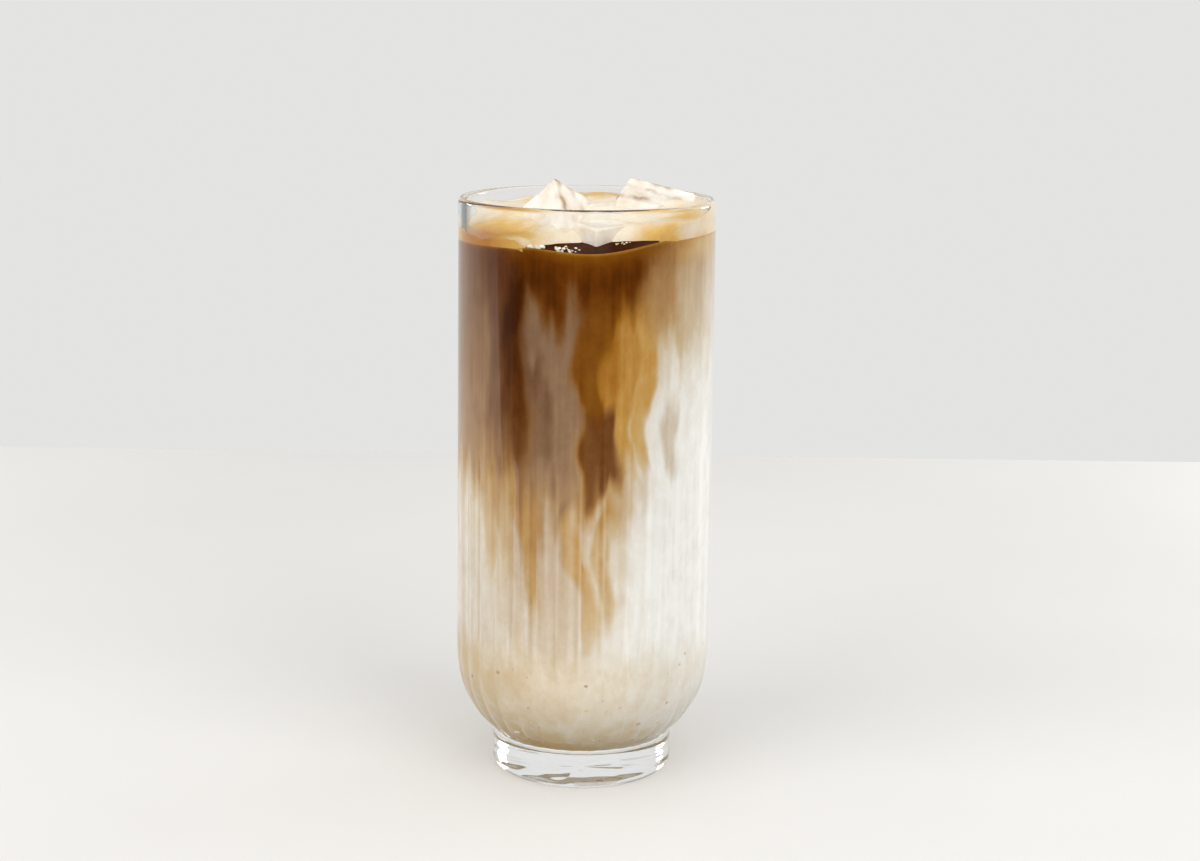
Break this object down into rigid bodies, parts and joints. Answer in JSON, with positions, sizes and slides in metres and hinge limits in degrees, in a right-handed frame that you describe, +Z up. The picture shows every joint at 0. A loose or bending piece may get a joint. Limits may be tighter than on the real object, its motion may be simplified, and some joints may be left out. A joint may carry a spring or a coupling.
{
  "type": "iced latte",
  "caption": "Iced latte in a tall glass: coffee sinking in streaks into milk over a sweet base, golden foam and clear ice at the top, ribs round the lower glass.",
  "frame": {"origin": "middle of the foot's underside, which is the middle of the bottom of the bounding box", "axes": "+Z up along the glass's axis, its longest side; the front of the picture faces -Y and +X is to the right in it"},
  "size_m": [0.066, 0.0658, 0.1533],
  "materials": {
    "clear_glass": "polished clear glass",
    "sweet_base": "opaque beige milk sweetened with syrup, seen through glass",
    "milk": "opaque white milk with tan streaks, seen through glass",
    "coffee": "dark brown coffee with paler plumes, wet surface",
    "foam": "fine golden and cream foam with small bubbles",
    "ice": "wet clear ice with brown tinted edges"
  },
  "bodies": {
    "root": {"glass": "clear_glass", "sweet_base": "sweet_base", "milk": "milk", "coffee": "coffee", "foam": "foam", "ice_left": "ice", "ice_right": "ice", "ice_front": "ice"}
  },
  "joints": []
}
